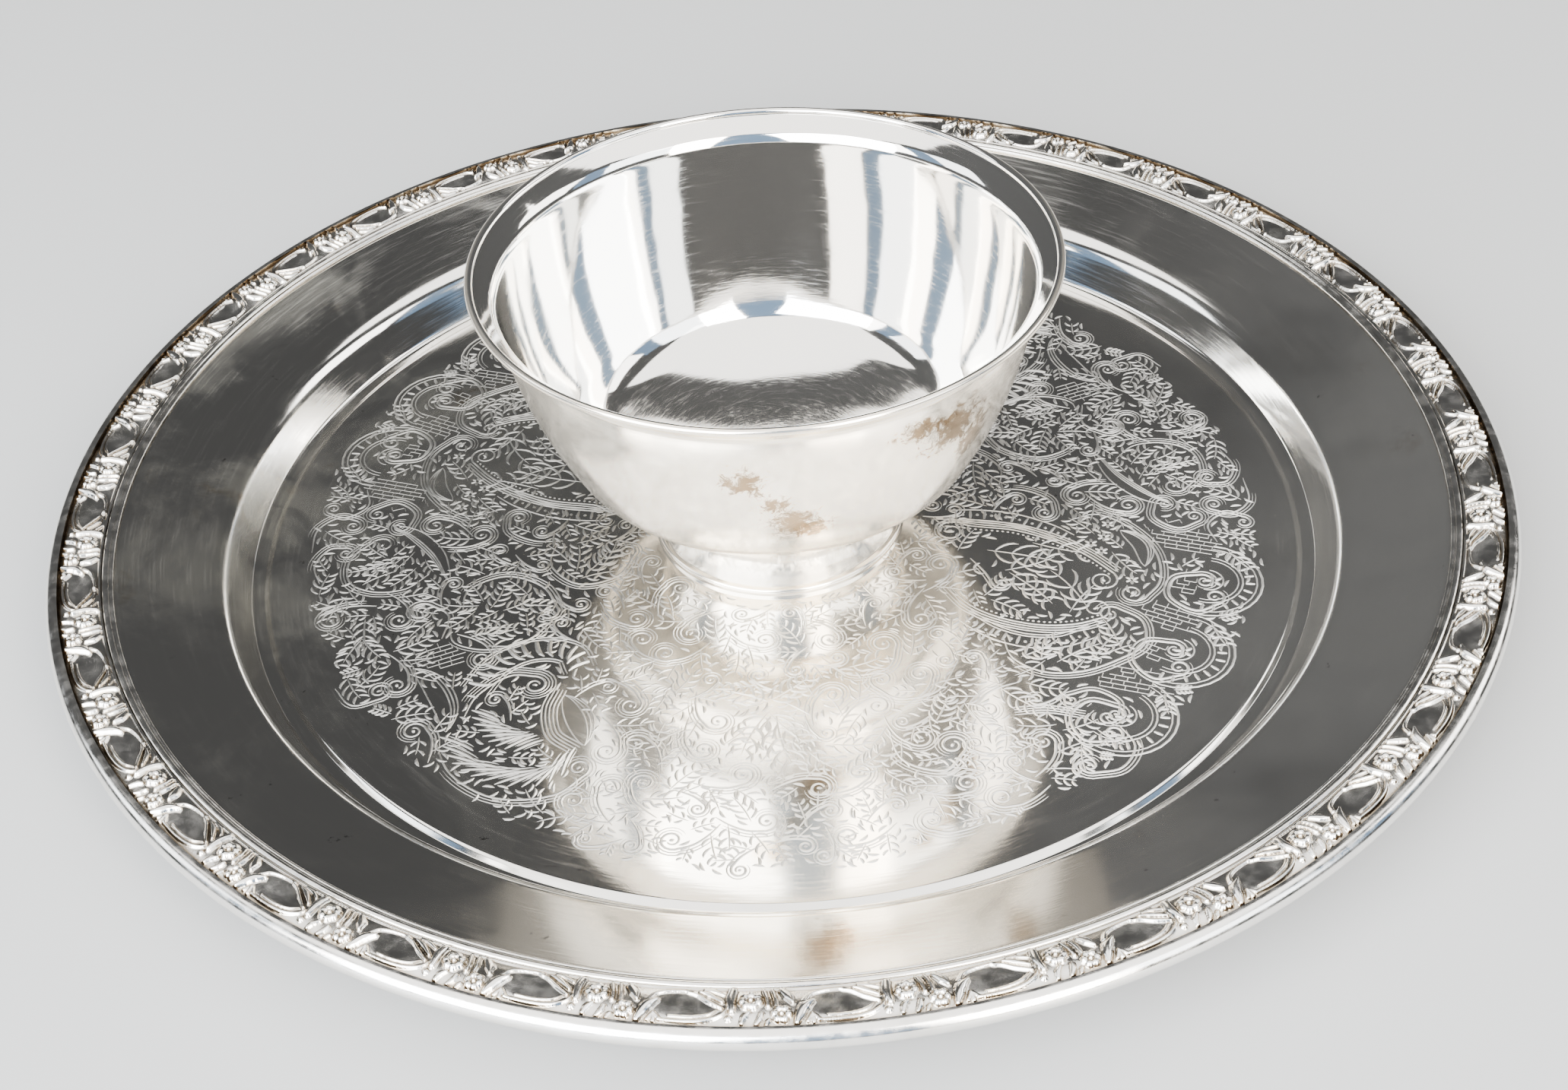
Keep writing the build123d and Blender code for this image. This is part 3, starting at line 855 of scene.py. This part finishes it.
def cut_cartouche(e):
    """The pointed oval with its frame of lines, beads, ladders and rolled ends, and leaf sprays inside."""
    top = figure((25, -4.4), (28, -5.3), (33, -6.6), (38, -9.4), (42, -12.8), (45.2, -17))
    low = figure((22.5, -17.5), (25, -21.8), (29, -24.8), (34, -26.6), (38.5, -26.8), (42.2, -25.9))
    e.scroll(top, 3.4, -1, 1.3, 0.5, ())
    e.scroll(low, 3.2, 1, 1.3, 0.5, ())
    e.scroll(figure((28, -5.3), (26.6, -4.9), (25.2, -4)), 3.6, 1, 1.3, 0.55, ONE_ECHO)
    for line, side in ((top, -1), (low, 1)):
        line = through(line, 8)
        e.lines(line, [-side * 0.75, -side * 1.5, -side * 2.2], 0.42)
        e.dots(line, side, 1.2, 0.55)
    e.ladder(figure((24, -1.2), (28.5, -1.6), (33.5, -3), (38.2, -5.8), (41, -8.4)), -1, 3.6, 3.1)
    e.ladder(figure((23, -24.5), (26.5, -28.2), (31, -30.6), (36, -31.2), (41, -29.6)), 1, 3.4, 3.1)
    # leaves inside
    for x, y, heading, length, bend in (
        (28.5, -10.5, -15, 15, -0.02), (30.5, -15, 8, 12, 0.05), (31, -15.5, -48, 13, -0.03),
        (40.5, -23.5, 105, 14, 0.05), (38, -24.5, 60, 11, -0.05), (35, -9.5, -28, 12, 0.03),
        (36, -22.5, 115, 10, 0.06), (27, -20, 40, 8, 0.05),
    ):
        e.leaf(spot(x, y), heading, length, bend, 4, 0.7)
    e.scroll(figure((26, -12), (27.6, -15), (28.6, -18)), 1.8, 1, 1, 0.6, ONE_ECHO)
    field = [
        (34.0 + 9.0 * a * math.cos(b), -16.0 + 7.0 * a * math.sin(b) - 0.35 * 9.0 * a * math.cos(b))
        for a in (0.2, 0.45, 0.7, 0.95)
        for b in np.linspace(0, 6.28, 40)
    ]
    e.mark(np.array(field) * FIGURE, 1)
    # the outer scroll at its pointed end, with a dark blade and berries
    e.scroll(
        figure((41, -5), (45, -4.2), (49, -7.6), (51.6, -13), (51.2, -19), (48.5, -22.5)),
        3, -1, 1.1, 0.55,
    )
    e.blade(figure((47.5, -8), (49.6, -11.5), (49.6, -16)), 1.5)
    for at in ((43, -10.4), (44.2, -12.2), (45, -9.2), (47.4, -18.6), (46, -6.4)):
        e.flower(spot(*at), 1.4, 6)
    e.leaf(spot(45.6, -12.5), -70, 9, 0.06, 4, 0.6)


def cut_leaf_panel(e):
    """The arched panel near the edge, with a plain blade, a striped leaf and rolled scrolls."""
    e.blade(figure((46.4, 10.2), (48.4, 4), (51.8, -0.6), (55.8, -3.2)), 1.25)
    e.scroll(figure((49.6, 8.4), (52.6, 11.2), (57, 11.4), (60.6, 9), (61, 4), (58, 0.2)), 2.6, -1, 1, 0.5)
    for k in range(6):
        e.leaf(spot(52.0 + 1.2 * k, 3.2 + 0.6 * k), 62 - 9 * k, 7.5 - 0.5 * k, -0.05, 3, 0.55)
    e.scroll(figure((53.4, -2.4), (52.8, -5.6), (55.6, -8.2), (58.8, -7)), 2, 1, 1.15, 0.55, start_roll=1.9)
    e.scroll(figure((64.8, 9), (66, 5), (64.4, 1.6), (61.8, 1.4)), 2, -1, 1.2, 0.55)
    e.scroll(figure((66.8, 2), (66.6, -3), (63.8, -5.6), (61, -4.6)), 2, -1, 1.2, 0.55)
    e.scroll(figure((60.4, -11.8), (59.8, -8), (62.6, -5.6), (65.4, -6.8)), 1.8, -1, 1.1, 0.55, ONE_ECHO)
    e.leaf(spot(60.6, 12), 60, 9, 0.05, 4, 0.7)
    e.leaf(spot(62.4, -9.8), -20, 7, 0.05, 3, 0.7)
    e.brick(spot(56, -11), -20, 7.5, 4.6)


def cut_edge_hearts(e):
    """Heavy scrolls rolled at both ends, each with a fan towards the edge and brickwork behind."""
    for turn in (0, -14, -28):
        c, s = unit(turn)
        spin = np.array([[c, s], [-s, c]])

        def put(*points):
            return [p @ spin for p in figure(*points)]

        e.scroll(
            put((57, -18.4), (53.2, -18.8), (51.9, -22.4), (54.8, -25.6), (58.4, -24.4)),
            2.3, 1, 1.1, 0.75, (0.95,), start_roll=2.2,
        )
        middle = put((57.6, -19.6))[0]
        e.shell(middle, turn - 22, 11.6)
        e.brick(put((55.8, -20.6))[0], turn - 20, 5.5, 4.2)
        for x, y, heading in ((61.5, -13.6, -70), (57.5, -27.4, 15), (64.2, -15.4, -30)):
            e.leaf(put((x, y))[0], turn + heading, 8, 0.06 if heading < 0 else -0.06, 4, 0.75)
    e.brick(spot(51, -27), -30, 6.5, 4.5)
    e.brick(spot(43.5, -38), -20, 9, 4.5)


def cut_acanthus(e):
    """The leafy scroll under the cartouche and the clusters between it and the edge."""
    e.scroll(
        figure(
            (28.6, -28.4), (29.4, -32.6), (33, -35.6), (38, -36), (43, -34.2), (46.8, -31.6),
            (47.4, -27), (44.4, -24),
        ),
        2.6, 1, 1,
    )
    for x, y, heading, length, bend in (
        (30.5, -32.5, 20, 10, 0.06), (35, -34, 35, 11, -0.05), (40, -33.6, 60, 9, -0.06),
        (43.6, -31.6, 95, 9, 0.06), (33, -33.4, 75, 6, 0.04),
    ):
        e.leaf(spot(x, y), heading, length, bend, 4, 0.75)
    e.scroll(
        figure((35.6, -40.2), (39, -39.6), (41.8, -42), (41.2, -45)),
        2, -1, 1.1, 0.6, ONE_ECHO, start_roll=1.6,
    )
    e.lines(through(figure((28.4, -43.2), (32.6, -43.2), (37, -44.6)), 6), [0, 0.7, 1.4, 2.1], 0.42)
    for x, y, heading in ((34, -46.5, 10), (38.5, -47, -50), (36, -49, -100), (31.5, -48, 200)):
        e.leaf(spot(x, y), heading, 8, 0.07, 4, 0.7)
    e.scroll(figure((41.2, -46.2), (42.6, -50), (40.4, -53.6), (36.6, -54.2)), 2.2, -1, 1.2)
    # a heavy rolled scroll and its leaves in front of the foot
    e.scroll(figure((12, -44), (13.5, -50), (18.5, -52.2), (21.4, -49)), 2.9, 1, 1.3, 0.7, (0.9, 1.6))
    e.scroll(figure((4, -30), (8, -34), (13, -33), (14.4, -28.8)), 2.8, 1, 1.2)
    e.scroll(figure((22, -33), (19, -38), (14, -39), (10.8, -36.4)), 2.6, -1, 1.2)
    for x, y, heading, length in (
        (-2, -40, -90, 16), (-3, -40, -60, 13), (-3, -40, -125, 13),
        (-3, -38, 150, 11), (-3, -38, 30, 11),
        (22, -40, -70, 12), (24, -53, 160, 9), (6, -52, 30, 10),
        (18, -44, 60, 9), (27, -38, -50, 10),
    ):
        e.leaf(spot(x, y), heading, length, 0.04, 5, 0.75)


def cut_wave(e):
    """The big rolled wave: a crested arch, a comma of lines in it, and feathers sweeping round below."""
    e.crest(
        figure((-43.4, -31.5), (-40.6, -26.6), (-36, -23.6), (-31, -23.2), (-27, -25.2), (-25.4, -29)),
        5.2, 3.2, -1,
    )
    e.scroll(
        figure((-42.6, -38), (-41, -33.6), (-37, -30.2), (-33.2, -30.6)),
        2.6, -1, 1.2, 0.6, (0.8, 1.5, 2.2),
    )
    band = through(figure((-31.2, -33), (-32.4, -37), (-31.6, -42), (-28.2, -45.4)), 8)
    e.lines(band, [0, 0.8, 1.6, 2.4, 3.2], 0.45)
    e.blade(figure((-29.6, -34.4), (-28, -39), (-26.6, -44)), 2)
    e.plume(figure((-41.6, -35.6), (-41, -39), (-38.6, -42.6), (-35, -44.6)), 62, 10, 9, 1)
    e.plume(
        figure((-45.6, -40), (-43.4, -45.6), (-38.4, -49.6), (-32.6, -50.6), (-28.6, -48.6)),
        48, 12, 14, 1,
    )
    e.scroll(figure((-46, -41), (-43.4, -47.6), (-37.6, -52.2), (-30.4, -52.4), (-26.2, -49)), 2.4, 1, 1.1)
    e.blade(figure((-50, -27.6), (-47.4, -31), (-45.4, -35.6), (-44.6, -40)), 1.9)
    # roundel, oval and rolled scroll above it
    e.scroll(figure((-44.2, -17), (-43.6, -12.2), (-38.6, -9.8), (-33.4, -12.4), (-31, -17.4)), 2.4, -1, 1)
    e.scroll(
        figure((-45.6, -19), (-44.8, -23), (-40, -24.8), (-35, -23.4), (-32, -20)),
        2, 1, 1, 0.5, ONE_ECHO,
    )
    for x, y, heading in (
        (-40.4, -16.4, 60), (-38.6, -17, 20), (-41.4, -15, 110), (-36.6, -15.6, -20),
        (-41, -21.6, 0), (-37, -20.6, 170),
    ):
        e.leaf(spot(x, y), heading, 7.5, 0.08, 4, 0.7)
    e.scroll(figure((-46.6, -22), (-46, -17.4), (-48.8, -14.8)), 2.9, 1, 1.3, 0.7, (0.9,))
    for x, y, heading, length in (
        (-57.5, -17, -90, 9), (-57.5, -21, -60, 8), (-57.5, -21, 240, 8),
        (-62, -19, 250, 7), (-53, -24, 20, 9), (-57, -27, 200, 9),
        (-53, -37, 200, 9), (-53, -37, 250, 8), (-50, -40, 220, 8),
        (-48.5, -43, 250, 8), (-52, -36, 150, 7), (-37.5, -55, 250, 5),
        (-38.5, -54, 220, 6),
    ):
        e.leaf(spot(x, y), heading, length, 0.05, 4, 0.75)
    e.scroll(figure((-60, -30.6), (-57.4, -34), (-53.6, -33)), 2.4, 1, 1.2, 0.6, ONE_ECHO)
    e.brick(spot(-47, -26), 20, 5.5, 4.5)
    e.brick(spot(-52.5, 9), 15, 7.5, 5)
    # heart-shaped leaf figure beside the foot, and a swept scroll
    e.scroll(figure((-31.6, -2.6), (-32.4, -8), (-28.4, -12.4), (-23, -11.2), (-20.6, -6.4)), 2, 1, 1.1)
    for x, y, heading in ((-28.8, -9.6, 80), (-27.2, -10, 50), (-29.6, -8, 120), (-25.4, -9, 60)):
        e.leaf(spot(x, y), heading, 9, 0.06, 4, 0.7)
    e.scroll(figure((-31, -2.8), (-35, -2.4), (-38.4, 0), (-38.8, 3)), 2, -1, 1.2)


def fill_ground(e):
    """Rolled scrolls, leaves and commas on whatever ground is left, large ones first."""
    for size, tries in ((17.0, 500), (12.0, 1500), (8.0, 4000), (5.0, 8000), (2.6, 12000)):
        for _ in range(tries):
            radius = math.sqrt(e.random.uniform(ENGRAVED_IN**2, ENGRAVED_OUT**2))
            angle, heading = e.random.uniform(0, 180), e.random.uniform(0, 360)
            hand = 1 if e.random.random() < 0.5 else -1
            at = radius * unit(angle)
            if size > 10:
                line = curl(at, heading, size * 0.8, hand * 0.03, hand * 0.2, 12)
                room = [line, beside(line, 2.2 * hand), beside(line, 4.0 * hand)[4:], beside(line, -1.5)]
                if e.crowded(np.vstack(room)):
                    continue
                echoes = TWO_ECHOES if size > 14 else ONE_ECHO
                drawn = e.scroll(list(line[::3]), size * 0.15, hand, 1.2, 0.6, echoes=echoes)
                for share in (0.15, 0.35):
                    i = int(share * len(drawn))
                    heading = heading_of(drawn[i + 1] - drawn[i]) - hand * 48
                    e.leaf(drawn[i], heading, size * 0.42, -hand * 0.05, 3, 0.65)
            elif size > 4:
                rib = curl(at, heading, size, hand * 0.03, hand * 0.08, 8)
                if e.crowded(np.vstack([rib, beside(rib, 1.2), beside(rib, -1.2)])):
                    continue
                e.leaf(at, heading, size, hand * 0.08, 4 if size > 6 else 3, 0.65)
            else:
                comma = curl(at, heading, size, hand * 0.1, hand * 0.7, 5)
                if not e.crowded(comma, 0.0):
                    e.cut(comma, 0.75, 0.4)


def engrave(seed=7):
    e = Engraving(seed)
    cut_cartouche(e)
    cut_leaf_panel(e)
    cut_acanthus(e)
    cut_wave(e)
    cut_edge_hearts(e)
    fill_ground(e)
    return e.cuts


def add_engraving(material):
    """The cuts as low ridges on the floor, each side of half a turn in a piece of its own."""
    cuts = engrave()
    for half, side in enumerate((1, -1)):
        verts, faces = [], []
        for points, width in cuts:
            along = np.gradient(points, axis=0)
            along /= np.linalg.norm(along, axis=1)[:, None] + 1e-9
            across = np.stack([-along[:, 1], along[:, 0]], 1) * (width / 2)[:, None]
            first, n = len(verts), len(points)
            foot, crest = 0 * width, width / 2 * CUT_SLOPE
            for flat, height in ((points + across, foot), (points, crest), (points - across, foot)):
                levels = (FLOOR_Z + height) * MM
                verts += [(side * x, side * y, z) for (x, y), z in zip(flat * MM, levels)]
            for i in range(n - 1):
                a = first + i
                faces += [(a, a + n, a + n + 1, a + 1), (a + n, a + 2 * n, a + 2 * n + 1, a + n + 1)]
        piece = mesh_object(f"engraving_{half + 1}", verts, faces, "tray", material)
        piece.data.polygons.foreach_set("use_smooth", np.zeros(len(faces), bool))


# ---------------------------------------------------------------- the scene
def plain_metal(name, colour, roughness):
    m = Metal(name, colour, roughness)
    m.roughness = m.span(m.noise(400, 3, 0.6), 0.3, 0.7, roughness * 0.8, roughness * 1.3)
    m.bump(m.noise(1500, 2, 0.6, place=m.rings()), 0.00004, 0.5)
    return m.finish()


add_camera()
add_stage()
tray_metal, border_metal, bowl_metal = tray_silver(), border_silver(), bowl_silver()
BRASS = plain_metal("brass", (0.78, 0.60, 0.30), 0.3)
STEEL = plain_metal("steel", (0.60, 0.60, 0.61), 0.35)
SOLDER = plain_metal("solder", (0.50, 0.50, 0.51), 0.5)
INNER = {
    "border_filler": SOLDER, "foot_bridge": BRASS, "stud": BRASS,
    "flat_washer": STEEL, "lock_washer": STEEL, "thumb_nut": BRASS,
}
for name, node in NODES.items():
    node.data.materials.clear()
    node.data.materials.append(INNER.get(name, bowl_metal))
add_tray(tray_metal)
add_mouldings(border_metal)
add_border(border_metal)
add_engraving(engraved_silver())
add_bowl(bowl_metal)
add_foot(bowl_metal)
